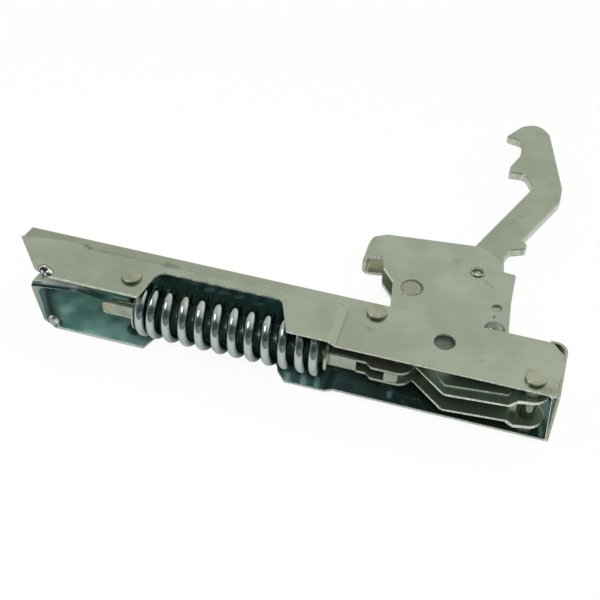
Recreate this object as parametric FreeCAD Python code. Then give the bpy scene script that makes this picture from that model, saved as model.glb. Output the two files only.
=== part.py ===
import FreeCAD, Part
import math
import os

# Oven door hinge: a folded steel channel with a riveted pivot, a hook arm carried
# between two cheeks of one folded sheet, and a tie rod that works a coil spring.
# Millimetres. X runs along the channel towards the pivot, Y towards the hook and
# Z up. The origin is the axis of the locating hole, on the upper flange's outer face.

V = FreeCAD.Vector

# Channel
sheet = 1.0                   # sheet of the channel
channel_depth = 25.5          # flange width, from the open edge to the web's outer face
channel_height = 25.2         # outside height of the narrow stretch
pivot_end = 43.2              # locating hole to the outer face of the end wall
spring_end = 165.4            # locating hole to the web's far end
hole_radius = 4.0             # locating hole
hole_from_edge = 13.4         # locating hole to the open edge of the flanges
bend_radius = 1.6             # outer radius of the long bends
end_radius = 4.5              # outer radius of the bend into the end wall
widening = 1.7                # how far each flange steps out around the spring
step_x = -37.0                # where the widened stretch ends
step_run = 3.0                # length of the step
crease_from_web = 5.0         # width of the flange strip that stays level beside the web
crease_run = 1.8              # width of the crease
crease_jog = 1.2              # how far the crease moves to the web near the spring end
crease_tip = -1.6             # and away from it at the flange's tip
crease_jog_x = -147.6
crease_jog_run = 8.6
end_gap = 0.2                 # flange edge to end wall
relief_length = 5.5           # corner cut between the flange and the wrapped end wall
relief_depth = 6.0

# Flange notches around the spring
notch_left = -110.0
notch_right = -60.0
upper_notch_depth = 14.8
lower_notch_depth = 8.6
notch_slant = 4.8
notch_fillet = 3.6

# Slanted spring end of the flanges
tip_run = 1.5                 # how far the flange tip stands past the web's end
tip_below_web = 8.0           # tip to the web's outer face
slant_x = 11.0                # slanted cut, from the web's end along X
slant_from_edge = 2.6         # end of the slanted cut above the open edge
corner_x = 18.5               # web's end to the start of the open edge
bead_radius = 1.6             # pinched bead across each of those corners
bead_sink = 0.3               # its axis below the face it stands on

# Cross rivets through the flanges
rivet_head_radius = 3.7
rivet_head_height = 1.4
rivet_head_round = 0.4
rivet_tenon_radius = 2.2
pivot_x = 33.8
pivot_y = -8.1
pivot_radius = 2.8
pivot_spacer_radius = 3.9
stop_x = -26.5
stop_y = 6.3
stop_barrel_radius = 2.8
stop_sleeve_radius = 4.2
rear_x = -117.8
rear_y = -4.9
rear_barrel_radius = 2.2      # plain shank, as thick as its tenons

# Cheeks: one sheet folded round at the ear
cheek_sheet = 1.5
cheek_gap = 7.4               # inside distance between the cheeks
ear_x = -40.2                 # outer face of the fold
fold_radius = 3.0
nose_radius = 6.0             # rounded end on the pivot pin
nose_leave_angle = 125.0      # where the inner edge leaves that rounding
nose_step = 2.2               # outward step of each cheek at the pivot
nose_step_run = 2.4
nose_step_end = 4.2           # pivot axis to the end of that step
lap_depth = 0.6               # thinner margin of each cheek along its front edge
slot_clearance = 1.0          # web slot to the cheeks' outer faces
slot_end_depth = 15.4         # how deep the slot reaches down the end wall

# Hook arm
arm_sheet = 4.0
arm_edge_chamfer = 0.35

# Rivets of the arm, and the small marks in the upper cheek
arm_rivet_at = (-17.9, 30.7)
eyelet_at = (4.8, 47.1)
dome_at = (16.0, 18.5)
relief_at = (14.4, 50.4)      # round relief in the cheeks' inner corner
relief_radius = 0.8
dimples = [(15.1, 29.5, 1.8), (14.9, 24.7, 0.8), (11.3, 40.6, 0.6)]
dimple_depth = 0.8
arm_rivet_radius = 4.0
arm_rivet_barrel = 4.8
eyelet_radius = 2.7
eyelet_lip_radius = 3.2
eyelet_lip = 0.5
eyelet_barrel = 4.2
eyelet_mouth = 2.3            # cup in each end of the hollow rivet
eyelet_bottom = 1.1
eyelet_cup = 1.6
dome_radius = 3.6
dome_height = 2.1
dome_barrel = 3.0
dome_tenon = 2.2

# Crank pin, worked from the pivot
crank_length = 13.0
crank_angle = 135.0           # at rest, from +X
crank_pin_radius = 2.3
crank_tenon_radius = 1.6

# Tie rod: a folded U with its web to the open side, ending in a fork
rod_sheet = 1.2
rod_bend = 1.0                # outer radius of its two long bends
fork_clearance = 0.2          # each side of the fork, between the cheeks
rod_front = 3.6               # rod's front face to the flanges' open edge
tail_depth = 2.4              # depth of the U where it passes the rear rivet
body_depth = 7.6              # depth of the U inside the spring and fork
rod_left = -128.8
rod_tip_round = 2.6
tail_legs = -125.2            # where the U begins; the tip is a plain tongue
rod_web_end = -29.6
fork_right = -8.2
fork_step_x = -24.6
fork_step = 1.9
fork_round = 6.4
fork_back = 12.6

# Link between the fork and the crank pin
link_clearance = 0.1          # on each flat of the link
link_left = -19.0
link_half_width = 4.0
link_round = 8.3              # fork pin to where its rounded end meets the neck
link_wall = 2.6
link_play = 0.6               # play round the crank pin in its slot
fork_pin_x = -15.5
fork_pin_y = -4.6
fork_pin_radius = 2.4

# Spring and what it bears on
spring_wire = 4.2
spring_outside = 20.6
spring_axis_from_edge = 7.5
spring_left = -114.7
spring_right = -41.2
spring_turns = 11.4
seat_sheet = 1.2
seat_radius = 7.4
seat_ear_width = 6.0
seat_ear_from_edge = 12.0
seat_play = 0.3
washer_sheet = 0.6
washer_radius = 8.4
key_sheet = 0.8
key_length = 8.0
key_height = 8.4

# Fits
press_gap = 0.02              # radial, fixed pieces
pin_gap = 0.05                # radial, turning pieces
slide_gap = 0.3               # between pieces that slide past each other

# Levels and lines worked out from the values above
open_edge = -hole_from_edge
web_outer = open_edge + channel_depth
web_inner = web_outer - sheet
mid = -channel_height / 2.0
cheek_half = cheek_gap / 2.0 + cheek_sheet
rod_half = cheek_gap / 2.0 - fork_clearance
rod_gap = 2.0 * (rod_half - rod_sheet)
rod_y = open_edge + rod_front
spring_y = open_edge + spring_axis_from_edge
crank_x = pivot_x + crank_length * math.cos(math.radians(crank_angle))
crank_y = pivot_y + crank_length * math.sin(math.radians(crank_angle))
crank_top = pivot_y + crank_length
slot_half = cheek_half + slot_clearance


def box(x0, x1, y0, y1, z0, z1):
    return Part.makeBox(x1 - x0, y1 - y0, z1 - z0, V(x0, y0, z0))


def rod_z(x, y, radius, z0, z1):
    return Part.makeCylinder(radius, z1 - z0, V(x, y, z0), V(0, 0, 1))


def ring_z(x, y, outer, inner, z0, z1):
    return rod_z(x, y, outer, z0, z1).cut(rod_z(x, y, inner, z0 - 1, z1 + 1))


def fuse(shapes):
    return shapes[0].fuse(shapes[1:]).removeSplitter()


def cut(shape, tools):
    return shape.cut(tools).removeSplitter()


def flat(z):
    """Places an outline's points at a level."""
    return lambda a, b: V(a, b, z)


def across_x(x):
    """Places an outline's points in the plane square to X."""
    return lambda a, b: V(x, a, b)


def across_y(y):
    """Places an outline's points in the plane square to Y."""
    return lambda a, b: V(a, y, b)


def rounded_wire(points, place):
    """Closed outline of (a, b, corner radius), with each corner turned into a tangent arc."""
    spots = [place(a, b) for a, b, radius in points]
    count = len(points)
    corners = []
    for i in range(count):
        here = spots[i]
        radius = points[i][2]
        if radius <= 0:
            corners.append((here, None, here))
            continue
        before = spots[i - 1].sub(here).normalize()
        after = spots[(i + 1) % count].sub(here).normalize()
        half = before.getAngle(after) / 2.0
        back = radius / math.tan(half)
        middle = before.add(after).normalize()
        apex = here.add(middle.multiply(radius / math.sin(half) - radius))
        corners.append((here.add(before.multiply(back)), apex, here.add(after.multiply(back))))
    edges = []
    for i in range(count):
        start, apex, end = corners[i]
        if apex:
            edges.append(Part.Arc(start, apex, end).toShape())
        following = corners[(i + 1) % count][0]
        if end.distanceToPoint(following) > 1e-6:
            edges.append(Part.makeLine(end, following))
    return Part.Wire(edges)


def plate(points, z0, z1):
    """Flat plate with that outline, between two levels."""
    return Part.Face(rounded_wire(points, flat(z0))).extrude(V(0, 0, z1 - z0))


def channel_section(step, x, jog=0.0):
    """Section of the channel where its flanges stand out by a step."""
    crease = web_outer - crease_from_web + jog
    outside = [
        (open_edge, step, 0),
        (crease - crease_run, step, 0),
        (crease, 0.0, 0),
        (web_outer, 0.0, bend_radius),
    ]
    inside = [
        (open_edge, step - sheet, 0),
        (crease - crease_run, step - sheet, 0),
        (crease, -sheet, 0),
        (web_inner, -sheet, bend_radius - sheet),
    ]
    outside = outside + [(y, -channel_height - z, r) for y, z, r in reversed(outside)]
    inside = inside + [(y, -channel_height - z, r) for y, z, r in reversed(inside)]
    return rounded_wire(outside + inside[::-1], across_x(x))


def flange_trim():
    """Outline that both flanges and the web are trimmed to at the spring end."""
    left = -spring_end
    return [
        (left, web_outer + 1, 0),
        (left, web_outer, 0),
        (left - tip_run, web_outer - tip_below_web, 0.8),
        (left + slant_x, open_edge + slant_from_edge, 0.8),
        (left + corner_x - 4.0, open_edge + 1.4, 0.8),
        (left + corner_x, open_edge - 1, 0),
        (pivot_end + 1, open_edge - 1, 0),
        (pivot_end + 1, web_outer + 1, 0),
    ]


def notch_outline(depth):
    top = open_edge + depth
    return [
        (notch_left - 2.4, open_edge - 1, 0),
        (notch_left, top - 3.5, 2.0),
        (notch_left + 1.6, top, notch_fillet),
        (notch_right - 1.2, top, notch_fillet),
        (notch_right + 0.6, top - 4.5, 2.0),
        (notch_right + notch_slant + 0.4, open_edge - 1, 0),
    ]


def end_wrap():
    """Web strip that turns the far corner and becomes the end wall, full height."""
    start = pivot_end - sheet - end_gap - relief_length
    outline = [
        (start, web_outer, 0),
        (pivot_end, web_outer, end_radius),
        (pivot_end, open_edge, 0),
        (pivot_end - sheet, open_edge, 0),
        (pivot_end - sheet, web_inner, end_radius - sheet),
        (start, web_inner, 0),
    ]
    return plate(outline, -channel_height, 0.0)


def corner_bead(z):
    """Small pinched bead across the trimmed corner of a flange."""
    left = -spring_end
    start = V(left + slant_x + 2.0 * bead_radius, open_edge + slant_from_edge + 0.5 * bead_radius, z)
    end = V(left + corner_x - 0.8 * bead_radius, open_edge + 1.1 * bead_radius, z)
    along = end.sub(start)
    bead = Part.makeCylinder(bead_radius, along.Length, start, along)
    return bead.fuse([Part.makeSphere(bead_radius, start), Part.makeSphere(bead_radius, end)])


def make_channel():
    flange_end = pivot_end - sheet - end_gap
    far = -spring_end - tip_run - 1
    step_start = step_x - step_run
    right = Part.Face(channel_section(0.0, step_x)).extrude(V(flange_end - step_x, 0, 0))
    jog_end = crease_jog_x + crease_jog_run
    left = Part.Face(channel_section(widening, jog_end)).extrude(V(step_start - jog_end, 0, 0))
    ends = [channel_section(widening, step_start), channel_section(0.0, step_x)]
    step = Part.makeLoft(ends, True, True)
    ends = [channel_section(widening, far, crease_tip), channel_section(widening, crease_jog_x, crease_jog)]
    tip = Part.makeLoft(ends, True, True)
    ends = [channel_section(widening, crease_jog_x, crease_jog), channel_section(widening, jog_end)]
    jog = Part.makeLoft(ends, True, True)
    body = fuse([tip, jog, left, step, right])
    trim = plate(flange_trim(), -channel_height - widening - 1, widening + 1)
    body = body.common(trim)
    relief = plate(
        [
            (flange_end - relief_length, web_outer + 1, 0),
            (flange_end - relief_length, web_outer, 0),
            (flange_end, web_outer - relief_depth, 0),
            (flange_end + 1, web_outer - relief_depth, 0),
            (flange_end + 1, web_outer + 1, 0),
        ],
        -channel_height - 1,
        1,
    )
    body = body.cut(relief)
    slot = box(stop_x + stop_sleeve_radius - 3.0, pivot_end + 1, web_inner - 4, web_outer + 1,
               mid - slot_half, mid + slot_half)
    end_slot = box(pivot_end - sheet - 4, pivot_end + 1, web_outer - slot_end_depth, web_outer + 1,
                   mid - slot_half, mid + slot_half)
    upper_notch = plate(notch_outline(upper_notch_depth), mid, widening + 2)
    lower_notch = plate(notch_outline(lower_notch_depth), -channel_height - widening - 2, mid)
    lower_bead = corner_bead(-channel_height - widening + sheet - bead_sink)
    upper_bead = corner_bead(widening - bead_sink)
    body = fuse([body, end_wrap(), lower_bead, upper_bead])
    holes = [rod_z(0, 0, hole_radius, -sheet - 1, 1)]
    for x, y in ((pivot_x, pivot_y), (stop_x, stop_y), (rear_x, rear_y)):
        holes.append(rod_z(x, y, rivet_tenon_radius + press_gap, -channel_height - 5, 5))
    return cut(body, [slot, end_slot, upper_notch, lower_notch] + holes)


def rivet_head(x, y, z, up):
    head = rod_z(x, y, rivet_head_radius, 0, rivet_head_height)
    rim = [edge for edge in head.Edges if abs(edge.BoundBox.ZMin - rivet_head_height) < 1e-6
           and abs(edge.BoundBox.ZMax - rivet_head_height) < 1e-6]
    head = head.makeFillet(rivet_head_round, rim)
    if not up:
        head.rotate(V(x, y, 0), V(1, 0, 0), 180)
    head.translate(V(0, 0, z))
    return head


def cross_rivet(x, y, barrel_radius, step):
    """Rivet through both flanges: a barrel between them, tenons in them, heads outside."""
    top = step
    bottom = -channel_height - step
    return [
        rod_z(x, y, barrel_radius, bottom + sheet, top - sheet),
        rod_z(x, y, rivet_tenon_radius, bottom, top),
        rivet_head(x, y, top, True),
        rivet_head(x, y, bottom, False),
    ]


def make_pivot_pin():
    return fuse(cross_rivet(pivot_x, pivot_y, pivot_radius, 0.0))


def make_pivot_spacer(upper):
    """Tube on the pivot pin that keeps a cheek away from its flange."""
    reach = cheek_half + nose_step + slide_gap
    spacer = ring_z(pivot_x, pivot_y, pivot_spacer_radius, pivot_radius + press_gap,
                    mid + reach, -sheet)
    if not upper:
        spacer = spacer.mirror(V(0, 0, mid), V(0, 0, 1))
    return spacer


def make_stop_rivet():
    return fuse(cross_rivet(stop_x, stop_y, stop_barrel_radius, 0.0))


def make_stop_sleeve():
    return ring_z(stop_x, stop_y, stop_sleeve_radius, stop_barrel_radius + press_gap,
                  -channel_height + sheet, -sheet)


def make_rear_rivet():
    return fuse(cross_rivet(rear_x, rear_y, rear_barrel_radius, widening))


def cheek_outline():
    """Edge of a cheek from the ear, past the stop sleeve, to the pivot."""
    left = stop_x + stop_sleeve_radius + slide_gap
    return [
        (ear_x - 1, 42.4, 0),
        (-32.1, 43.9, 0),
        (-31.0, 38.6, 1.5),
        (-25.8, 32.4, 1.5),
        (-24.1, 21.7, 3.0),
        (left, 13.0, 3.0),
        (left, 3.0, 4.0),
        (-6.9, -8.6, 3.0),
        (3.8, -17.2, 3.0),
        (27.1, -15.4, 2.0),
        (pivot_x, pivot_y - nose_radius, 0),
    ]


def cheek_prism(low, high):
    """Flat shape that both cheeks share, between two levels."""
    turn = math.radians(nose_leave_angle)
    leave_x = pivot_x + nose_radius * math.cos(turn)
    leave_y = pivot_y + nose_radius * math.sin(turn)
    tail = [
        (leave_x, leave_y, 0),
        (27.4, -0.4, 1.5),
        (27.0, 4.0, 2.0),
        (22.0, 12.4, 6.0),
        (19.9, 33.4, 0),
        (19.4, 49.3, 1.0),
        (14.6, 49.7, 0),
        (13.9, 52.2, 0.6),
        (10.4, 57.4, 5.0),
        (3.0, 61.2, 4.0),
        (-33.5, 57.1, 3.0),
        (-38.9, 54.2, 3.0),
        (ear_x - 1, 48.0, 0),
    ]
    body = plate(cheek_outline() + tail, low, high)
    nose = rod_z(pivot_x, pivot_y, nose_radius, low, high)
    return fuse([body, nose])


def lap_outline():
    """Margin along the front edge of a cheek, in front of the step in its outer face."""
    right = pivot_x - nose_step_end - nose_step_run - slide_gap
    return [
        (-14.5, -3.4, 0),
        (-5.6, -3.4, 0.5),
        (-1.0, -8.6, 0),
        (3.4, -13.4, 1.0),
        (right - 0.9, -11.2, 0.6),
        (right, -9.4, 0),
        (right, -20.0, 0),
        (-14.5, -20.0, 0),
    ]


def cheek_profile(y):
    """Folded sheet seen along Y: two cheeks, the fold at the ear and the steps at the pivot."""
    step_end = pivot_x - nose_step_end
    step_start = step_end - nose_step_run
    far = pivot_x + nose_radius + 1
    inner_half = cheek_gap / 2.0
    outer = [
        (far, cheek_half + nose_step, 0),
        (step_end, cheek_half + nose_step, 1.0),
        (step_start, cheek_half, 1.0),
        (ear_x, cheek_half, fold_radius),
    ]
    inner = [
        (far, inner_half + nose_step, 0),
        (step_end, inner_half + nose_step, 1.0),
        (step_start, inner_half, 1.0),
        (ear_x + cheek_sheet, inner_half, fold_radius - cheek_sheet),
    ]
    outer = outer + [(x, -z, r) for x, z, r in reversed(outer)]
    inner = inner + [(x, -z, r) for x, z, r in reversed(inner)]
    points = [(x, mid + z, r) for x, z, r in outer + inner[::-1]]
    return rounded_wire(points, across_y(y))


def make_cheeks():
    reach = cheek_half + nose_step + 1
    low = mid - reach
    high = mid + reach
    prism = cheek_prism(low, high)
    bounds = prism.BoundBox
    profile = cheek_profile(bounds.YMin - 1)
    folded = Part.Face(profile).extrude(V(0, bounds.YLength + 2, 0))
    body = folded.common(prism)
    holes = [
        rod_z(pivot_x, pivot_y, pivot_radius + pin_gap, low, high),
        rod_z(arm_rivet_at[0], arm_rivet_at[1], arm_rivet_radius + press_gap, low, high),
        rod_z(eyelet_at[0], eyelet_at[1], eyelet_radius + press_gap, low, high),
        rod_z(dome_at[0], dome_at[1], dome_tenon + press_gap, low, high),
        rod_z(crank_x, crank_y, crank_tenon_radius + press_gap, low, high),
        rod_z(relief_at[0], relief_at[1], relief_radius, low, high),
    ]
    top = mid + cheek_half
    for x, y, radius in dimples:
        holes.append(rod_z(x, y, radius, top - dimple_depth, top + 1))
    bottom = mid - cheek_half
    holes.append(plate(lap_outline(), top - lap_depth, top + 1))
    holes.append(plate(lap_outline(), bottom - 1, bottom + lap_depth))
    return cut(body, holes)


def arm_outline():
    """Hook arm seen from above, from the hidden root round the hook and back."""
    return [
        (-24.5, 23.0, 5.0),
        (-6.0, 25.0, 8.0),
        (8.0, 37.6, 6.0),
        (13.6, 47.6, 3.0),
        (14.6, 53.1, 1.5),
        (13.1, 60.8, 1.5),
        (15.0, 66.4, 1.2),
        (21.0, 69.2, 1.4),
        (20.8, 72.0, 1.2),
        (18.7, 73.8, 0.6),
        (30.4, 102.2, 8.0),
        (30.2, 111.0, 12.0),
        (20.2, 146.6, 4.0),
        (14.6, 153.0, 6.0),
        (7.6, 149.2, 3.0),
        (1.8, 139.8, 0.6),
        (8.4, 138.2, 0.0),
        (9.4, 136.8, 0.8),
        (9.8, 128.0, 3.0),
        (6.8, 119.6, 3.0),
        (6.7, 115.0, 1.0),
        (13.6, 115.8, 3.5),
        (18.2, 107.9, 0.6),
        (1.2, 65.2, 0.0),
        (-1.6, 58.2, 4.0),
        (-26.5, 40.6, 8.0),
    ]


def make_hook_arm():
    low = mid - arm_sheet / 2.0
    high = mid + arm_sheet / 2.0
    body = plate(arm_outline(), low, high)
    rims = [edge for edge in body.Edges if edge.BoundBox.ZLength < 1e-6]
    body = body.makeChamfer(arm_edge_chamfer, rims)
    holes = [
        rod_z(arm_rivet_at[0], arm_rivet_at[1], arm_rivet_barrel + press_gap, low - 1, high + 1),
        rod_z(eyelet_at[0], eyelet_at[1], eyelet_barrel + press_gap, low - 1, high + 1),
    ]
    return cut(body, holes)


def make_arm_rivet():
    """Flush rivet: a barrel that spaces the cheeks and two tenons set level with them."""
    x, y = arm_rivet_at
    half = cheek_gap / 2.0
    return fuse([
        rod_z(x, y, arm_rivet_barrel, mid - half, mid + half),
        rod_z(x, y, arm_rivet_radius, mid - cheek_half, mid + cheek_half),
    ])


def make_eyelet():
    """Hollow rivet with a rolled lip on each cheek."""
    x, y = eyelet_at
    half = cheek_gap / 2.0
    body = fuse([
        rod_z(x, y, eyelet_barrel, mid - half, mid + half),
        rod_z(x, y, eyelet_radius, mid - cheek_half, mid + cheek_half),
        rod_z(x, y, eyelet_lip_radius, mid + cheek_half, mid + cheek_half + eyelet_lip),
        rod_z(x, y, eyelet_lip_radius, mid - cheek_half - eyelet_lip, mid - cheek_half),
    ])
    floor = cheek_half + eyelet_lip - eyelet_cup
    cups = []
    for side in (1, -1):
        base = V(x, y, mid + side * floor)
        cups.append(Part.makeCone(eyelet_bottom, eyelet_mouth, eyelet_cup, base, V(0, 0, side)))
    return cut(body, cups)


def dome(x, y, z, up):
    sphere_radius = (dome_radius ** 2 + dome_height ** 2) / (2.0 * dome_height)
    cap = Part.makeSphere(sphere_radius, V(x, y, z + dome_height - sphere_radius))
    cap = cap.common(rod_z(x, y, dome_radius + 1, z, z + dome_height + 1))
    if not up:
        cap = cap.mirror(V(0, 0, z), V(0, 0, 1))
    return cap


def make_dome_rivet():
    x, y = dome_at
    half = cheek_gap / 2.0
    return fuse([
        rod_z(x, y, dome_barrel, mid - half, mid + half),
        rod_z(x, y, dome_tenon, mid - cheek_half, mid + cheek_half),
        dome(x, y, mid + cheek_half, True),
        dome(x, y, mid - cheek_half, False),
    ])


def make_crank_pin():
    half = cheek_gap / 2.0
    return fuse([
        rod_z(crank_x, crank_y, crank_pin_radius, mid - half, mid + half),
        rod_z(crank_x, crank_y, crank_tenon_radius, mid - cheek_half, mid + cheek_half),
    ])


def make_tie_rod():
    """Folded U with its web to the open side; past the web its flanges are the fork."""
    low = mid - rod_half
    high = mid + rod_half
    washer_face = spring_left - washer_sheet
    tail_end = spring_left + press_gap
    outline = [
        (rod_left, rod_y, 0),
        (fork_step_x - 1.5, rod_y, 1.0),
        (fork_step_x + 0.8, rod_y - fork_step, 1.0),
        (fork_right, rod_y - fork_step, fork_round),
        (fork_right, open_edge + fork_back, 4.0),
        (fork_step_x - 1.5, open_edge + fork_back, 2.0),
        (fork_step_x - 4.0, rod_y + body_depth, 2.0),
        (tail_end, rod_y + body_depth, 0),
        (tail_end, rod_y + tail_depth, 0),
        (rod_left, rod_y + tail_depth, 0),
    ]
    back = open_edge + fork_back + 1
    section = [(rod_y, low, rod_bend), (rod_y, high, rod_bend), (back, high, 0), (back, low, 0)]
    folded = Part.Face(rounded_wire(section, across_x(rod_left - 1)))
    folded = folded.extrude(V(rod_web_end - rod_left + 1, 0, 0))
    fork = box(rod_web_end, fork_right + 1, rod_y - fork_step - 1, back, low, high)
    front = [(rod_left, low, rod_tip_round), (rod_left, high, rod_tip_round),
             (fork_right + 1, high, 0), (fork_right + 1, low, 0)]
    tip = Part.Face(rounded_wire(front, across_y(rod_y - fork_step - 1)))
    tip = tip.extrude(V(0, back - rod_y + fork_step + 1, 0))
    body = plate(outline, low, high).common(fuse([folded, fork])).common(tip)
    inner_low = low + rod_sheet
    inner_high = high - rod_sheet
    hollow = box(rod_left - 1, rod_web_end, rod_y + rod_sheet, back, inner_low, inner_high)
    tongue = box(rod_left - 1, tail_legs, rod_y + rod_sheet, back, low - 1, high + 1)
    mouth = box(rod_web_end, fork_right + 1, rod_y - fork_step - 1, back, inner_low, inner_high)
    key_slot = box(washer_face - key_length - slide_gap, washer_face, rod_y + rod_sheet,
                   rod_y + rod_sheet + key_sheet, low - 1, high + 1)
    pin_hole = rod_z(fork_pin_x, fork_pin_y, fork_pin_radius + press_gap, low - 1, high + 1)
    return cut(body, [hollow, tongue, mouth, key_slot, pin_hole])


def make_link():
    """Bar in the fork, with a slot across its far end for the crank pin."""
    half = rod_gap / 2.0 - link_clearance
    low = mid - half
    high = mid + half
    slot_radius = crank_pin_radius + link_play
    outer = slot_radius + link_wall
    front = rod_y - fork_step
    link_floor = web_outer - slot_end_depth + slide_gap
    outline = [
        (link_left, front, 0.5),
        (fork_pin_x + 1.3, front, 2.0),
        (fork_pin_x + link_round, link_floor, 4.0),
        (crank_x + outer, link_floor, 2.5),
        (crank_x + outer, crank_top + outer, 4.5),
        (crank_x - outer, crank_top + outer, 4.5),
        (crank_x - outer, crank_y + link_half_width - 1.0, 4.0),
        (link_left, fork_pin_y + link_half_width, 1.5),
    ]
    body = plate(outline, low, high)
    slot = [
        rod_z(crank_x, crank_y, slot_radius, low - 1, high + 1),
        rod_z(crank_x, crank_top, slot_radius, low - 1, high + 1),
        box(crank_x - slot_radius, crank_x + slot_radius, crank_y, crank_top, low - 1, high + 1),
        rod_z(fork_pin_x, fork_pin_y, fork_pin_radius + press_gap, low - 1, high + 1),
    ]
    return cut(body, slot)


def make_fork_pin():
    return rod_z(fork_pin_x, fork_pin_y, fork_pin_radius, mid - rod_half, mid + rod_half)


def disc_x(x0, x1, radius):
    return Part.makeCylinder(radius, x1 - x0, V(x0, spring_y, mid), V(1, 0, 0))


def make_seat():
    """Disc that takes the spring's fixed end, with two ears that bear on the channel's step."""
    x0 = spring_right
    x1 = spring_right + seat_sheet
    ear_half = channel_height / 2.0 + widening - sheet - seat_play
    ear_y = open_edge + seat_ear_from_edge
    ears = box(x0, x1, ear_y, ear_y + seat_ear_width, mid - ear_half, mid + ear_half)
    window = box(x0 - 1, x1 + 1, rod_y - slide_gap, rod_y + body_depth + slide_gap,
                 mid - rod_half - slide_gap, mid + rod_half + slide_gap)
    return cut(fuse([disc_x(x0, x1, seat_radius), ears]), [window])


def make_washer():
    """Loose disc on the rod's tail that pushes the spring's moving end."""
    x1 = spring_left
    x0 = spring_left - washer_sheet
    window = box(x0 - 1, x1 + 1, rod_y - press_gap, rod_y + tail_depth + press_gap,
                 mid - rod_half - press_gap, mid + rod_half + press_gap)
    return cut(disc_x(x0, x1, washer_radius), [window])


def make_key():
    """Flat key through the rod's tail, behind the washer."""
    x1 = spring_left - washer_sheet
    y0 = rod_y + rod_sheet
    return box(x1 - key_length, x1, y0 + press_gap, y0 + key_sheet - press_gap,
               mid - key_height / 2.0, mid + key_height / 2.0)


def make_spring():
    """Compression spring: one helix of round wire, ground flat at both ends."""
    length = spring_right - spring_left
    mean = (spring_outside - spring_wire) / 2.0
    pitch = length / spring_turns
    turns = spring_turns + 1.0
    helix = Part.makeHelix(pitch, pitch * turns, mean)
    section = Part.Wire([Part.makeCircle(spring_wire / 2.0, V(mean, 0, 0), V(0, 1, 0))])
    wire = Part.Wire(helix.Edges).makePipeShell([section], True, True)
    wire.translate(V(0, 0, -pitch / 2.0))
    keep = Part.makeBox(4 * mean, 4 * mean, length, V(-2 * mean, -2 * mean, 0))
    spring = wire.common(keep)
    spring.rotate(V(0, 0, 0), V(0, 1, 0), 90)
    spring.translate(V(spring_left, spring_y, mid))
    return spring


def main():
    os.makedirs("parts", exist_ok=True)
    pieces = {
        "channel": make_channel(),
        "pivot_pin": make_pivot_pin(),
        "upper_pivot_spacer": make_pivot_spacer(True),
        "lower_pivot_spacer": make_pivot_spacer(False),
        "stop_rivet": make_stop_rivet(),
        "stop_sleeve": make_stop_sleeve(),
        "rear_rivet": make_rear_rivet(),
        "spring_seat": make_seat(),
        "spring": make_spring(),
        "cheek_plates": make_cheeks(),
        "hook_arm": make_hook_arm(),
        "arm_rivet": make_arm_rivet(),
        "eyelet": make_eyelet(),
        "dome_rivet": make_dome_rivet(),
        "crank_pin": make_crank_pin(),
        "tie_rod": make_tie_rod(),
        "link": make_link(),
        "fork_pin": make_fork_pin(),
        "spring_washer": make_washer(),
        "tail_key": make_key(),
    }
    for name, shape in pieces.items():
        shape.exportStep("parts/%s.step" % name)
        print("%-20s solids %d volume %.1f" % (name, len(shape.Solids), shape.Volume))


main()
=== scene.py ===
import bpy
import math
import numpy as np
from mathutils import Matrix, Vector


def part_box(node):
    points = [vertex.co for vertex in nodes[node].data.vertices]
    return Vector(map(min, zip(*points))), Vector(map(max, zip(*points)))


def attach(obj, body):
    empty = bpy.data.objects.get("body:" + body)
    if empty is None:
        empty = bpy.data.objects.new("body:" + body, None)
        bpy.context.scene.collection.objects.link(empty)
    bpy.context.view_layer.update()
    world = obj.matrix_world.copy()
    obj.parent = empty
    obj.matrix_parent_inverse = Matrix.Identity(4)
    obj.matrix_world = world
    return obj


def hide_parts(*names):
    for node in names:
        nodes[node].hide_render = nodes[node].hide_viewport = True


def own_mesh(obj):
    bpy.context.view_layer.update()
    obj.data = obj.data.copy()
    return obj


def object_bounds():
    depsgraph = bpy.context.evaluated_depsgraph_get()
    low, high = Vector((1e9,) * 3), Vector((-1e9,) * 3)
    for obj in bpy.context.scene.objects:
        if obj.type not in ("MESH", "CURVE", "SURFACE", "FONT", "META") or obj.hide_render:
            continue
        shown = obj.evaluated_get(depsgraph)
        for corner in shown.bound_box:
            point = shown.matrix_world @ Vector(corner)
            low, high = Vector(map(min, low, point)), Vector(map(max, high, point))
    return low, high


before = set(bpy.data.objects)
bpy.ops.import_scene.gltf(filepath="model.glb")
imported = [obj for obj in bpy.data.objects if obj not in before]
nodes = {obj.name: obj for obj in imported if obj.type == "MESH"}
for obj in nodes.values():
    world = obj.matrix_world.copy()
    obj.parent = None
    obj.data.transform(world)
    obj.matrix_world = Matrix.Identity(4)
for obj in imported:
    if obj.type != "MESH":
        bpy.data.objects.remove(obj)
cadBox = [list(corner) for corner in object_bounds()]
print("frame loaded, nodes:", len(nodes))


# shader node helpers

def feed(tree, socket, value):
    if isinstance(value, bpy.types.NodeSocket):
        tree.links.new(value, socket)
    elif hasattr(value, "__len__") and len(value) == 3 and socket.type == "RGBA":
        socket.default_value = (*value, 1.0)
    else:
        socket.default_value = value


def addNode(tree, kind, values=None, **settings):
    node = tree.nodes.new(kind)
    for name, value in settings.items():
        setattr(node, name, value)
    for key, value in (values or {}).items():
        feed(tree, node.inputs[key], value)
    return node


def calc(tree, operation, a, b=0.0, c=0.0, clamp=False):
    node = addNode(tree, "ShaderNodeMath", operation=operation, use_clamp=clamp)
    for socket, value in zip(node.inputs, (a, b, c)):
        feed(tree, socket, value)
    return node.outputs[0]


def product(tree, mask, *others):
    for other in others:
        mask = calc(tree, "MULTIPLY", mask, other)
    return mask


def steepness(tree, part):
    return calc(tree, "ABSOLUTE", part)


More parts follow.
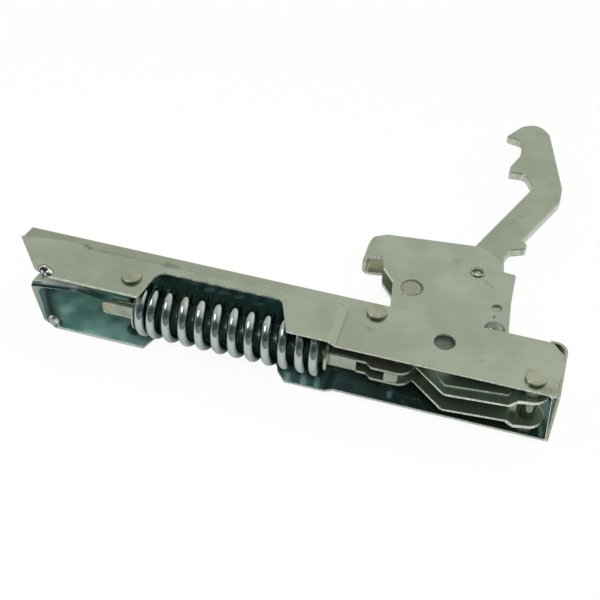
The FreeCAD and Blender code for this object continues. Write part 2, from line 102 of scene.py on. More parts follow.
def vectorStep(tree, operation, a, b):
    node = addNode(tree, "ShaderNodeVectorMath", operation=operation)
    feed(tree, node.inputs[0], a)
    feed(tree, node.inputs["Scale" if operation == "SCALE" else 1], b)
    return node.outputs["Value" if operation in ("DOT_PRODUCT", "DISTANCE") else "Vector"]


def blendColor(tree, share, a, b):
    node = addNode(tree, "ShaderNodeMix", data_type="RGBA")
    for index, value in ((0, share), (6, a), (7, b)):
        feed(tree, node.inputs[index], value)
    return node.outputs[2]


def span(tree, value, low, high, start=0.0, end=1.0):
    # smooth step from low to high, mapped to start and end
    node = addNode(tree, "ShaderNodeMapRange", interpolation_type="SMOOTHSTEP")
    for index, item in enumerate((value, low, high, start, end)):
        feed(tree, node.inputs[index], item)
    return node.outputs[0]


def falling(tree, value, low, high, top=1.0):
    return span(tree, value, low, high, top, 0.0)


def nearLevel(tree, value, level, near, far, top=1.0):
    # top where the value is within near of the level, 0 beyond far
    return falling(tree, calc(tree, "ABSOLUTE", calc(tree, "SUBTRACT", value, level)), near, far, top)


def grain(tree, point, scale, detail, rough):
    # fractal noise on millimetre coordinates, scale may differ along each axis
    spread = vectorStep(tree, "MULTIPLY", point, scale if hasattr(scale, "__len__") else (scale,) * 3)
    noise = addNode(tree, "ShaderNodeTexNoise", {"Vector": spread, "Scale": 1.0, "Detail": detail, "Roughness": rough})
    return noise.outputs[0]


def nearSpot(tree, point, spot, radius, soft):
    # 1 inside a ball round the spot, falling to 0 over the soft rim
    return falling(tree, vectorStep(tree, "DISTANCE", point, spot), radius, radius + soft)


def nearBar(tree, point, start, end, radius, soft):
    # as nearSpot, round the line from start to end: distance to the nearest point of that line
    line = Vector(end) - Vector(start)
    away = vectorStep(tree, "SUBTRACT", point, start)
    along = vectorStep(tree, "DOT_PRODUCT", away, tuple(line / line.length_squared))
    foot = vectorStep(tree, "SCALE", tuple(line), calc(tree, "MULTIPLY", along, 1.0, clamp=True))
    return falling(tree, vectorStep(tree, "DISTANCE", away, foot), radius, radius + soft)


def axisReach(tree, xyz, centre):
    # distance from an axis along Z
    flat = addNode(tree, "ShaderNodeCombineXYZ", {"X": xyz[0], "Y": xyz[1]})
    return vectorStep(tree, "DISTANCE", flat.outputs[0], (centre[0], centre[1], 0.0))


def millimetres(tree):
    # the object's own coordinates in mm, whole and split, and the face's direction
    coords = addNode(tree, "ShaderNodeTexCoord")
    point = vectorStep(tree, "SCALE", coords.outputs["Object"], 1000.0)
    parts = addNode(tree, "ShaderNodeSeparateXYZ", {0: point})
    facing = addNode(tree, "ShaderNodeSeparateXYZ", {0: coords.outputs["Normal"]})
    return point, parts.outputs, facing.outputs


# zinc plated steel: clouds, fine spangle, rolling lines, pale sheared edges and stains, with painted shade and painted
# highlights in places
stainBrown = (0.150, 0.098, 0.036)
edgePale = (0.580, 0.615, 0.530)
# dark tone of painted shade: round heads, in grooves, at bead feet and in the flush rivet's crescent
shadeDark = (0.050, 0.056, 0.040)
scuffDark = (0.100, 0.110, 0.085)
litZinc = (0.560, 0.605, 0.530)
plainLook = {"bevel": 0.00035, "edge": edgePale, "edgeMatte": 0.40}
zincLooks = {
    "channelZinc": {
        "metal": 0.86, "gloss": (0.20, 0.30), "cloud": 0.045, "spangle": 0.55, "lines": (0.012, 1.9, 1.9),
        "color": (0.318, 0.356, 0.268), "pale": (0.378, 0.412, 0.326), "deep": (0.270, 0.312, 0.222),
        # inside the channel: a teal mist fading towards +X into the dark far tone as painted shade; shade is painted
        # shade on the web's inner side
        "inner": {"deep": (0.240, 0.520, 0.520), "pale": (0.540, 0.940, 0.890), "far": (0.070, 0.125, 0.108),
                  "fades": (-75.0, 0.0), "rough": 0.5, "shade": (0.130, 0.230, 0.210),
                  "matte": 0.12, "matteFades": (-130.0, -20.0), "litMatte": 0.85}},
    "cheekZinc": {
        "metal": 0.86, "gloss": (0.18, 0.28), "cloud": 0.05, "spangle": 0.6, "lines": (1.6, 0.014, 1.6),
        "color": (0.330, 0.368, 0.280), "pale": (0.390, 0.424, 0.338), "deep": (0.282, 0.324, 0.238),
        # the cheeks' sheared edges are paler still: pale steel and partly a painted highlight
        "bevel": 0.0006, "edge": (0.78, 0.82, 0.73), "edgeMatte": 0.60,
        "inner": {"deep": (0.180, 0.274, 0.208), "pale": (0.236, 0.328, 0.252), "far": (0.206, 0.280, 0.210),
                  "fades": (-60.0, 60.0), "rough": 1.5}},
    "armZinc": {
        "metal": 0.90, "gloss": (0.24, 0.34), "cloud": 0.06, "spangle": 0.7, "lines": (0.9, 0.02, 0.9),
        "color": (0.298, 0.336, 0.250), "pale": (0.360, 0.394, 0.310), "deep": (0.252, 0.292, 0.208)},
    "rodZinc": {
        "metal": 0.90, "gloss": (0.14, 0.26), "cloud": 0.10, "spangle": 0.9, "lines": (0.03, 1.2, 1.2),
        "color": (0.330, 0.375, 0.300), "pale": (0.430, 0.465, 0.380), "deep": (0.215, 0.262, 0.205),
        "bevel": 0.0005},
    "rivetZinc": {
        "metal": 0.95, "gloss": (0.13, 0.22), "cloud": 0.25, "spangle": 0.5, "lines": (0.8, 0.8, 0.1),
        "color": (0.330, 0.358, 0.258), "pale": (0.400, 0.420, 0.315), "deep": (0.262, 0.282, 0.186),
        "inner": {"deep": (0.14, 0.155, 0.115), "pale": (0.22, 0.24, 0.18), "far": (0.18, 0.20, 0.15),
                  "fades": (-100.0, 40.0), "rough": 0.6}},
    "pinZinc": {
        "metal": 0.80, "gloss": (0.10, 0.18), "cloud": 0.25, "spangle": 0.9, "lines": (0.8, 0.8, 0.1),
        "color": (0.520, 0.560, 0.470), "pale": (0.620, 0.650, 0.560), "deep": (0.400, 0.440, 0.350),
        "inner": {"deep": (0.050, 0.060, 0.048), "pale": (0.085, 0.100, 0.080), "far": (0.065, 0.078, 0.062),
                  "fades": (-100.0, 40.0), "rough": 1.0}},
    "domeZinc": {
        "metal": 1.0, "gloss": (0.05, 0.10), "cloud": 0.25, "spangle": 0.5, "lines": (0.8, 0.8, 0.1),
        "color": (0.215, 0.235, 0.195), "pale": (0.290, 0.315, 0.265), "deep": (0.150, 0.170, 0.135),
        "inner": {"deep": (0.10, 0.12, 0.09), "pale": (0.18, 0.20, 0.16), "far": (0.14, 0.16, 0.12),
                  "fades": (-100.0, 40.0), "rough": 1.0}},
}
# how far each noise shows: where it starts and is full, and its share
zincGrain = {"cloud": (0.36, 0.66), "plainShare": 0.45, "spangle": (0.42, 0.72, 0.0, 0.14),
             "lines": (0.52, 0.74, 0.0, 0.22), "gloss": (0.3, 0.7), "lineGloss": (0.5, 0.8, 0.0, 0.06),
             "wornAndHighlight": (0.35, 0.6, 0.35, 0.85), "mist": (0.36, 0.64), "shear": (0.30, 0.70),
             "spangleRelief": 0.55, "lineRelief": 0.35, "bump": 0.12, "bumpDepth": 0.00005}


def startCoat(tree, look):
    point, xyz, facing = millimetres(tree)
    cloud = grain(tree, point, look["cloud"], 4.0, 0.6)
    spangle = grain(tree, point, look["spangle"], 3.0, 0.65)
    lines = grain(tree, point, look["lines"], 3.0, 0.7)
    color = blendColor(tree, span(tree, cloud, *zincGrain["cloud"]), look["deep"], look["pale"])
    color = blendColor(tree, zincGrain["plainShare"], color, look["color"])
    color = blendColor(tree, span(tree, spangle, *zincGrain["spangle"]), color, look["pale"])
    color = blendColor(tree, span(tree, lines, *zincGrain["lines"]), color, look["deep"])
    relief = calc(tree, "ADD", product(tree, spangle, zincGrain["spangleRelief"]),
                  product(tree, lines, zincGrain["lineRelief"]))
    return {"point": point, "xyz": xyz, "facing": facing, "spangle": spangle, "lines": lines, "color": color,
            "gloss": span(tree, cloud, *zincGrain["gloss"], *look["gloss"]), "matte": None, "relief": relief}


def tintColor(tree, coat, mask, tone):
    coat["color"] = blendColor(tree, mask, coat["color"], tone)


def dullMetal(tree, coat, mask):
    # share of the surface that is matte and not mirror-like
    coat["matte"] = mask if coat["matte"] is None else calc(tree, "MAXIMUM", coat["matte"], mask)


def addInside(tree, coat, tint, innerMask):
    # tint of the hidden sides: misty, fading along X; shaded faces are painted darker as painted shade, lit ones
    # painted pale as painted light
    inside, shaded, lit = innerMask(tree, coat["xyz"], coat["facing"])
    mist = grain(tree, coat["point"], 0.10, 3.0, 0.5)
    tone = blendColor(tree, span(tree, mist, *zincGrain["mist"]), tint["deep"], tint["pale"])
    tone = blendColor(tree, span(tree, coat["xyz"][0], *tint["fades"]), tone, tint["far"])
    if shaded is not None:
        tone = blendColor(tree, shaded, tone, tint["shade"])
    tintColor(tree, coat, inside, tone)
    if lit is not None:
        tintColor(tree, coat, lit, litZinc)
        dullMetal(tree, coat, product(tree, inside, falling(tree, coat["xyz"][0], *tint["matteFades"], tint["matte"])))
        dullMetal(tree, coat, product(tree, lit, tint["litMatte"]))
    coat["gloss"] = product(tree, coat["gloss"], span(tree, inside, 0.0, 1.0, 1.0, tint["rough"]))


def rimMask(tree, radius):
    # 1 along sharp edges, where the rounded normal leaves the face's own normal
    bevel = addNode(tree, "ShaderNodeBevel", {"Radius": radius}, samples=6)
    normal = addNode(tree, "ShaderNodeNewGeometry").outputs["Normal"]
    return bevel.outputs[0], falling(tree, vectorStep(tree, "DOT_PRODUCT", bevel.outputs[0], normal), 0.90, 0.995)


def addEdge(tree, coat, look, edgeMask):
    # sheared faces with upright streaks
    side = edgeMask(tree, coat["xyz"], coat["facing"])
    shear = grain(tree, coat["point"], (1.9, 1.9, 0.3), 3.0, 0.6)
    tintColor(tree, coat, side, blendColor(tree, span(tree, shear, *zincGrain["shear"]), look["color"], look["edge"]))
    dullMetal(tree, coat, product(tree, side, look["edgeMatte"]))


def addStain(tree, coat, spot, radius, soft, amount):
    ragged = span(tree, grain(tree, coat["point"], 0.8, 4.0, 0.7), 0.36, 0.62)
    mark = product(tree, nearSpot(tree, coat["point"], spot, radius, soft), ragged, amount)
    tintColor(tree, coat, mark, stainBrown)
    coat["gloss"] = calc(tree, "ADD", coat["gloss"], product(tree, mark, 0.22))


def addShadeRing(tree, coat, centre, radius, width, amount):
    # painted shade in the corner round a head
    ring = falling(tree, axisReach(tree, coat["xyz"], centre), radius, radius + width, amount)
    tintColor(tree, coat, product(tree, ring, span(tree, coat["spangle"], 0.3, 0.6, 0.6, 1.0)), shadeDark)


def addScuff(tree, coat, spot, size, amount):
    ragged = span(tree, grain(tree, coat["point"], 2.2, 3.0, 0.6), 0.42, 0.56)
    mark = product(tree, nearSpot(tree, coat["point"], spot, size * 0.3, size), ragged, amount)
    tintColor(tree, coat, mark, scuffDark)


def addPatch(tree, coat, spot, radius, soft, share, tone):
    # matte spot that shows its own colour, used for painted light and for stains
    mark = product(tree, nearSpot(tree, coat["point"], spot, radius, soft), share)
    tintColor(tree, coat, mark, tone)
    dullMetal(tree, coat, mark)


def addGlint(tree, coat, start, end, radius, soft, share, tone):
    # matte streak in its own colour, used for painted reflections, painted highlights and painted shade, and for dark
    # scratches
    mark = product(tree, nearBar(tree, coat["point"], start, end, radius, soft), share)
    tintColor(tree, coat, mark, tone)
    dullMetal(tree, coat, mark)


def addBead(tree, coat, start, end, radius, rimWidth, dark, tone):
    # bead with painted reflections as patchy dark and pale facets, and a dark line of painted shade round its foot
    mark = nearBar(tree, coat["point"], start, end, radius, 0.10)
    facets = span(tree, grain(tree, coat["point"], 0.52, 1.0, 0.5), 0.42, 0.54)
    tintColor(tree, coat, nearBar(tree, coat["point"], start, end, radius + 0.10, rimWidth), dark)
    tintColor(tree, coat, mark, blendColor(tree, facets, dark, tone))
    coat["gloss"] = product(tree, coat["gloss"], span(tree, mark, 0.0, 1.0, 1.0, 0.3))


def addGroove(tree, coat, centre, radius, width, depth):
    # ring pressed into the face round an axis along Z, painted dark inside as painted shade
    ring = nearLevel(tree, axisReach(tree, coat["xyz"], centre), radius, 0.0, width)
    coat["relief"] = calc(tree, "SUBTRACT", coat["relief"], product(tree, ring, depth))
    tintColor(tree, coat, product(tree, ring, 0.85), shadeDark)


markKinds = {"stains": addStain, "shadeRings": addShadeRing, "scuffs": addScuff, "patches": addPatch, "glints": addGlint,
             "beads": addBead, "grooves": addGroove}


def zincFinish(name, finish, edgeMask=None, innerMask=None, marks=None, paint=None):
    look = {**plainLook, **zincLooks[finish]}
    material = bpy.data.materials.new(name)
    material.use_nodes = True
    tree = material.node_tree
    coat = startCoat(tree, look)
    if innerMask:
        addInside(tree, coat, look["inner"], innerMask)
    if paint:
        coat["color"] = paint(tree, coat["xyz"], coat["facing"], coat["color"])
    rounded, rim = rimMask(tree, look["bevel"])
    # pale worn rims, which also serve as a painted highlight along the edges
    tintColor(tree, coat, product(tree, rim, span(tree, coat["spangle"], *zincGrain["wornAndHighlight"])), edgePale)
    if edgeMask:
        addEdge(tree, coat, look, edgeMask)
    for kind, addMark in markKinds.items():
        for mark in (marks or {}).get(kind, ()):
            addMark(tree, coat, *mark)
    bump = addNode(tree, "ShaderNodeBump", {"Strength": zincGrain["bump"], "Distance": zincGrain["bumpDepth"],
                                            "Height": coat["relief"], "Normal": rounded})
    metal = look["metal"]
    if coat["matte"] is not None:
        metal = calc(tree, "MULTIPLY_ADD", coat["matte"], -metal, metal)
    lineGloss = span(tree, coat["lines"], *zincGrain["lineGloss"])
    shader = tree.nodes["Principled BSDF"].inputs
    feed(tree, shader["Base Color"], coat["color"])
    feed(tree, shader["Metallic"], metal)
    feed(tree, shader["Roughness"], calc(tree, "ADD", coat["gloss"], lineGloss))
    feed(tree, shader["Normal"], bump.outputs[0])
    return material


def wear(node, material):
    mesh = nodes[node].data
    mesh.materials.clear()
    mesh.materials.append(material)


# channel: places in mm, tones and shares of the painted shade and painted highlights on its folds
channelMid = -12.6
slantedEnd = {"rise": 0.76, "at": 163.6, "topY": 2.0}
creaseLook = {"start": -166.0, "peak": -147.6, "end": -139.0, "startY": 5.0, "peakY": 7.8, "drop": 1.2,
              "fades": (-135.0, -50.0), "strip": (0.225, 0.255, 0.178), "stripShare": 0.42,
              "pale": (0.400, 0.450, 0.365), "paleShare": 0.5, "paleFades": (-158.0, -138.0),
              "line": (0.150, 0.170, 0.120), "lineShare": 0.6, "lineBelow": -1.5, "lineStarts": (-142.0, -138.0)}
stepLook = {"foot": -36.8, "ramp": (0.235, 0.268, 0.208), "rampShare": 0.45,
            "line": (0.150, 0.170, 0.120), "lineShare": 0.45}
lowerShadeLook = {"corner": (0.045, 0.080, 0.066), "cornerShare": 0.95, "slope": (0.050, 0.085, 0.085), "slopeShare": 0.85,
             "brow": (0.600, 0.690, 0.670), "browShare": 0.8, "step": (0.040, 0.064, 0.060), "stepShare": 0.4,
             "stepAt": -39.5, "turn": (0.720, 0.780, 0.740), "turnShare": 0.9, "turnAt": -149.5}


def slantReach(tree, xyz):
    # distance along X from the flanges' slanted end
    offset = calc(tree, "MULTIPLY_ADD", calc(tree, "MINIMUM", xyz[1], slantedEnd["topY"]),
                  slantedEnd["rise"], slantedEnd["at"])
    return calc(tree, "ADD", xyz[0], offset)


def upperSide(tree, xyz):
    return span(tree, xyz[2], -5.0, -3.0)


def lowerSide(tree, xyz):
    return falling(tree, xyz[2], -20.0, -19.0)


def lowerFace(tree, xyz, facing):
    # the lower flange's side that looks up
    return product(tree, lowerSide(tree, xyz), span(tree, facing[2], 0.3, 0.6))


def channelInside(tree, xyz, facing):
    # faces that look into the channel: the lower flange's upper side and the web's side towards the opening, the web's
    # side painted darker as painted shade; painted light makes the end wall's inner side and the lower flange's raised
    # strip at the spring end pale
    lower = product(tree, lowerFace(tree, xyz, facing), span(tree, slantReach(tree, xyz), 1.6, 2.8))
    webSide = product(tree, falling(tree, facing[1], -0.95, -0.85), span(tree, xyz[1], 9.5, 10.5))
    endSide = product(tree, falling(tree, facing[0], -0.95, -0.8), span(tree, xyz[0], 40.0, 41.0))
    strip = product(tree, lower, span(tree, xyz[2], -25.2, -24.8), falling(tree, xyz[0], -150.0, -140.0))
    return calc(tree, "MAXIMUM", lower, webSide), webSide, calc(tree, "MAXIMUM", endSide, strip)


def creasePaint(tree, xyz, facing, color, look):
    # the upper flange's strip beside the web is duller at the spring end; the face below the crease is painted paler
    # as a painted highlight, and the crease's line is painted shade that follows its drift to the web and back
    rise = span(tree, xyz[0], look["start"], look["peak"], look["startY"], look["peakY"])
    drift = calc(tree, "SUBTRACT", rise, span(tree, xyz[0], look["peak"], look["end"], 0.0, look["drop"]))
    over = calc(tree, "SUBTRACT", xyz[1], drift)
    upper = product(tree, span(tree, facing[2], 0.8, 0.95), upperSide(tree, xyz))
    fade = product(tree, upper, falling(tree, xyz[0], *look["fades"]))
    strip = product(tree, span(tree, over, -0.3, 0.8, 0.0, look["stripShare"]), fade)
    color = blendColor(tree, strip, color, look["strip"])
    below = product(tree, span(tree, over, -7.0, -0.6), falling(tree, over, -0.3, 0.5),
                    falling(tree, xyz[0], *look["paleFades"], look["paleShare"]), upper)
    color = blendColor(tree, below, color, look["pale"])
    line = product(tree, nearLevel(tree, over, look["lineBelow"], 0.1, 0.5, look["lineShare"]),
                   span(tree, xyz[0], *look["lineStarts"]), fade)
    return blendColor(tree, line, color, look["line"])


def stepPaint(tree, xyz, facing, color, look):
    # the upper flange's step, painted shade: its ramp is no brighter than the face beside it, with a fine dark line at
    # its foot
    top = product(tree, upperSide(tree, xyz), span(tree, facing[2], 0.6, 0.8))
    ramp = product(tree, top, span(tree, facing[0], 0.15, 0.35, 0.0, look["rampShare"]))
    color = blendColor(tree, ramp, color, look["ramp"])
    foot = product(tree, nearLevel(tree, xyz[0], look["foot"], 0.1, 0.6, look["lineShare"]), top,
                   falling(tree, xyz[1], 3.0, 5.0))
    return blendColor(tree, foot, color, look["line"])


def lowerShadePaint(tree, xyz, facing, color, look):
    # painted shade and highlights on the lower flange: a dark corner at the spring end, a dark line at the step,
    # and a crease whose slope is painted dark with a painted highlight on its upper rim and one bright turn
    lower = lowerFace(tree, xyz, facing)
    slant = slantReach(tree, xyz)
    corner = product(tree, lower, span(tree, slant, 1.6, 2.8), falling(tree, slant, 5.0, 13.0, look["cornerShare"]),
                     falling(tree, xyz[2], -25.3, -25.0))
    color = blendColor(tree, corner, color, look["corner"])
    slope = product(tree, span(tree, facing[2], 0.45, 0.6), falling(tree, facing[2], 0.80, 0.9), lowerSide(tree, xyz),
                    falling(tree, xyz[0], -138.0, -130.0, look["slopeShare"]))
    color = blendColor(tree, slope, color, look["slope"])
    brow = product(tree, slope, span(tree, xyz[2], -25.4, -24.7),
                   falling(tree, xyz[0], -147.0, -141.0, look["browShare"]))
    color = blendColor(tree, brow, color, look["brow"])
    step = product(tree, lower, nearLevel(tree, xyz[0], look["stepAt"], 0.6, 2.0, look["stepShare"]))
    color = blendColor(tree, step, color, look["step"])
    turn = product(tree, slope, nearLevel(tree, xyz[0], look["turnAt"], 0.3, 2.6, look["turnShare"]))
    return blendColor(tree, turn, color, look["turn"])


def channelPaint(tree, xyz, facing, color):
    color = creasePaint(tree, xyz, facing, color, creaseLook)
    color = stepPaint(tree, xyz, facing, color, stepLook)
    return lowerShadePaint(tree, xyz, facing, color, lowerShadeLook)


def plateEdge(tree, xyz, facing):
    # sheared edge of a flat plate: every upright face
    return falling(tree, steepness(tree, facing[2]), 0.15, 0.4)


def flangeEdge(tree, xyz, facing):
    # sheared edges of the flanges: upright faces that are neither web nor end wall
    away = calc(tree, "ABSOLUTE", calc(tree, "SUBTRACT", xyz[2], channelMid))
    outer = product(tree, span(tree, away, 11.2, 11.5), falling(tree, xyz[1], 9.5, 10.2))
    return product(tree, plateEdge(tree, xyz, facing), outer)


channelMarks = {
    "stains": [((37.6, -11.6, 0.0), 0.5, 2.6, 0.60), ((31.0, -4.4, 0.0), 0.3, 2.2, 0.35),
               ((-27.0, -1.9, 0.0), 0.5, 2.2, 0.42), ((-164.5, 6.0, 1.7), 1.0, 7.0, 0.25),
               ((40.6, -11.0, 0.0), 0.4, 2.6, 0.4)],
    "scuffs": [((-107.6, 6.3, 0.9), 2.8, 1.0), ((-104.8, 6.3, 0.9), 2.4, 1.0), ((14.0, -5.0, 0.0), 0.9, 0.55),
               ((-141.6, 7.6, 0.5), 1.5, 1.0), ((-140.3, 6.6, 0.7), 1.7, 1.0), ((-138.6, 5.4, 1.0), 1.5, 1.0),
               ((-133.3, 5.5, 0.9), 1.5, 1.0), ((-131.7, 5.6, 0.9), 1.3, 1.0), ((-129.6, 5.5, 0.9), 1.3, 0.9),
               ((-63.0, -3.0, 1.7), 1.2, 0.4), ((24.0, 2.0, 0.0), 0.7, 0.4)],
    # painted shade round the rivet heads
    "shadeRings": [((33.8, -8.1), 3.70, 0.30, 0.9), ((-26.5, 6.3), 3.70, 0.30, 0.9),
              ((-117.8, -4.9), 3.70, 0.30, 0.9)],
    # a pale spot on the lower flange: painted light
    "patches": [((-147.6, -3.5, -25.9), 0.5, 5.5, 0.28, (0.50, 0.62, 0.52))],
    # painted reflections as pale streaks where the coils mirror, on the lower flange and on the web, and two dark ones
    # by the crease
    "glints": [((-55.0, -12.4, -25.9), (-55.4, -9.8, -25.9), 0.1, 1.9, 0.45, (0.36, 0.62, 0.66)),
               ((-48.6, -12.4, -25.9), (-49.2, -9.2, -25.9), 0.1, 2.0, 0.50, (0.38, 0.65, 0.69)),
               ((-43.4, -12.4, -25.9), (-44.0, -9.0, -25.9), 0.1, 1.8, 0.42, (0.36, 0.62, 0.66)),
               ((-16.0, -10.6, -24.2), (-16.2, -8.6, -24.2), 0.1, 1.5, 0.35, (0.34, 0.54, 0.54)),
               ((-131.3, 7.0, 1.0), (-130.2, 6.1, 1.2), 0.30, 0.70, 0.80, scuffDark),
               ((-129.2, 6.2, 1.2), (-127.4, 5.8, 1.2), 0.25, 0.60, 0.70, scuffDark),
               ((-100.4, 11.1, -10.6), (-97.2, 11.1, -9.6), 0.1, 2.0, 0.42, (0.24, 0.40, 0.37)),
               ((-94.4, 11.1, -13.2), (-91.8, 11.1, -12.4), 0.1, 1.8, 0.48, (0.26, 0.42, 0.39)),
               ((-88.8, 11.1, -13.0), (-85.4, 11.1, -12.2), 0.1, 1.8, 0.42, (0.24, 0.40, 0.37)),
               ((-82.2, 11.1, -13.2), (-79.6, 11.1, -12.6), 0.1, 1.7, 0.45, (0.24, 0.40, 0.37)),
               ((-74.6, 11.1, -14.8), (-72.0, 11.1, -14.0), 0.1, 1.7, 0.38, (0.22, 0.38, 0.35))],
    # beads with painted reflections and a dark foot of painted shade
    "beads": [((-151.2, -10.0, 1.4), (-148.2, -11.6, 1.4), 1.62, 0.45, shadeDark, (0.70, 0.74, 0.68)),
              ((-151.2, -10.0, -26.2), (-148.2, -11.6, -26.2), 1.62, 0.30, (0.100, 0.150, 0.140),
               (0.50, 0.56, 0.52))],
}
wear("channel", zincFinish("channelZinc", "channelZinc", flangeEdge, channelInside, channelMarks, channelPaint))


# cheeks and hooked arm
cheekMarks = {
    "stains": [((-4.0, 50.0, -7.4), 0.8, 3.0, 0.15)],
    # painted shade round the dome rivet and inside the eyelet
    "shadeRings": [((16.0, 18.5), 3.6, 0.50, 1.0), ((4.8, 47.1), 2.9, 0.40, 0.7)],
    "scuffs": [((9.5, 42.0, -7.4), 1.4, 0.5), ((-20.8, 26.0, -7.4), 0.6, 0.8), ((-4.0, 50.5, -7.4), 1.6, 0.4)],
    # painted light where light falls through the locating hole onto the cheek, and the brownish inside of the ear
    "patches": [((0.0, 5.0, -7.4), 2.5, 6.5, 0.72, (0.34, 0.42, 0.33)),
                ((-36.5, 49.0, -14.5), 2.5, 3.2, 0.75, (0.47, 0.45, 0.28))],
    # the flush rivet's ring and a dimple's outline, pressed in and painted dark as painted shade
    "grooves": [((-17.9, 30.7), 4.15, 0.42, 3.0), ((15.1, 29.5), 1.85, 0.30, 1.0)],
}
armMarks = {"stains": [((29.0, 104.0, -10.1), 0.5, 5.0, 0.22)], "scuffs": [((16.0, 88.0, -10.1), 2.0, 0.35)]}


def cheekInside(tree, xyz, facing):
    # the strip of the cheeks that lies in the channel, painted darker as painted shade, and greener
    return product(tree, falling(tree, xyz[1], 5.0, 10.0), span(tree, facing[2], 0.3, 0.8)), None, None


wear("cheek_plates", zincFinish("cheekZinc", "cheekZinc", plateEdge, cheekInside, cheekMarks))
wear("hook_arm", zincFinish("armZinc", "armZinc", plateEdge, None, armMarks))


# tie rod and the small sheet pieces that ride with it or hold the spring
rodMarks = {"stains": [((-121.0, -9.8, -12.6), 0.8, 3.5, 0.45), ((-36.0, -9.8, -12.0), 0.6, 3.0, 0.25)],
            "patches": [((-127.2, -9.8, -12.2), 0.5, 1.3, 0.7, (0.45, 0.31, 0.11))]}
rodCoilShade = {"starts": (-113.0, -107.0), "ends": (-52.0, -44.0), "share": 0.75, "tone": (0.150, 0.265, 0.255)}


def rodPaint(tree, xyz, facing, color):
    # painted shade and reflection: the length inside the coils is darker and takes their teal
    within = product(tree, span(tree, xyz[0], *rodCoilShade["starts"]),
                     falling(tree, xyz[0], *rodCoilShade["ends"], rodCoilShade["share"]))
    return blendColor(tree, within, color, rodCoilShade["tone"])


rodMaterial = zincFinish("rodZinc", "rodZinc", None, None, rodMarks, rodPaint)
for node in ("tie_rod", "link", "spring_washer", "tail_key", "spring_seat"):
    wear(node, rodMaterial)


# rivets and pins: axis, how brown the rim is on the side away from the web, and the finish
rivetPlaces = {
    "pivot_pin": ((33.8, -8.1), 0.45, "rivetZinc"), "stop_rivet": ((-26.5, 6.3), 0.30, "rivetZinc"),
    "rear_rivet": ((-117.8, -4.9), 0.20, "rivetZinc"), "arm_rivet": ((-17.9, 30.7), 0.10, "rivetZinc"),
    "eyelet": ((4.8, 47.1), 0.10, "rivetZinc"), "dome_rivet": ((16.0, 18.5), 0.10, "domeZinc"),
    "fork_pin": ((-15.5, -4.6), 0.10, "rivetZinc"), "crank_pin": ((24.6, 1.1), 0.10, "rivetZinc"),
    "stop_sleeve": ((-26.5, 6.3), 0.10, "rivetZinc"), "upper_pivot_spacer": ((33.8, -8.1), 0.15, "pinZinc"),
    "lower_pivot_spacer": ((33.8, -8.1), 0.15, "pinZinc"),
}
# the eyelet's mouth, painted as a shiny hollow: painted shade as a dark band across it and painted highlights as
# bright spots at its lower and upper rim
eyeletShadeAndGlints = [((2.9, 46.3, -7.2), (6.7, 46.3, -7.2), 0.55, 0.5, 0.85, (0.060, 0.085, 0.062)),
                ((4.5, 44.7, -7.2), (5.1, 44.7, -7.2), 0.25, 0.5, 0.70, (0.66, 0.74, 0.66)),
                ((4.2, 48.9, -7.2), (5.4, 48.9, -7.2), 0.30, 0.6, 0.50, (0.60, 0.67, 0.58))]
flushLook = {"tone": (0.235, 0.268, 0.205), "share": 0.45,
             "crescentAxis": (-18.1, 30.2), "crescent": (3.50, 3.95, 0.0, 0.9)}


def rivetSide(tree, xyz, facing):
    # upright sides of heads and shanks, painted dull and dark as painted shade
    return falling(tree, steepness(tree, facing[2]), 0.1, 0.5, 0.75), None, None


def pinSide(tree, xyz, facing):
    # left and right flanks of the upright spacers, painted dark beside a bright front as painted shade
    return span(tree, steepness(tree, facing[0]), 0.40, 0.80, 0.0, 0.85), None, None


def domeSide(tree, xyz, facing):
    # the dome's steep border, painted dark all round as painted shade
    return falling(tree, steepness(tree, facing[2]), 0.55, 0.90, 0.9), None, None


def flushPaint(tree, xyz, facing, color):
    # the flush rivet's face lies a little deep: duller, with a painted shadow as a dark crescent on the side towards
    # the hook
    color = blendColor(tree, flushLook["share"], color, flushLook["tone"])
    crescent = span(tree, axisReach(tree, xyz, flushLook["crescentAxis"]), *flushLook["crescent"])
    return blendColor(tree, crescent, color, shadeDark)


sideMasks = {"rivetZinc": rivetSide, "pinZinc": pinSide, "domeZinc": domeSide}
for node, (centre, brown, finish) in rivetPlaces.items():
    low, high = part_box(node)
    pieceMarks = {"stains": [((centre[0] + 3.0, centre[1] - 3.0, high.z * 1000), 0.3, 2.2, brown)]}
    if node == "eyelet":
        pieceMarks["glints"] = eyeletShadeAndGlints
    facePaint = flushPaint if node == "arm_rivet" else None
    wear(node, zincFinish(node + "Zinc", finish, None, sideMasks[finish], pieceMarks, facePaint))
print("zinc finishes done")


# coil spring: round wire on a right-hand helix round X, with closed ends ground flat;
# opens and closes give the turn where the pitch starts to change and over how many turns
springShape = {"left": -114.7, "right": -41.2, "axisY": -5.9, "axisZ": -12.6, "outer": 20.6, "wire": 4.2,
               "front": 133.0, "firstTurn": -0.45, "lastTurn": 11.45, "firstX": -112.4, "lastX": -45.1,
               "closedPitch": 4.4, "opens": (0.95, 0.6), "closes": (10.95, 0.8), "ring": 32, "perTurn": 72}
springLook = {"color": (0.425, 0.480, 0.463), "cool": (0.298, 0.414, 0.422), "warm": (0.36, 0.245, 0.105),
              "flank": (0.110, 0.165, 0.165), "gloss": (0.07, 0.14),
              "warmSpots": [((-99.2, -6.6, -2.5), 1.6, 2.6, 1.0), ((-43.0, -15.5, -14.5), 0.5, 2.6, 0.55),
                            ((-82.0, 1.0, -5.5), 0.5, 3.0, 0.45), ((-70.0, 0.0, -5.0), 0.5, 3.0, 0.35)]}


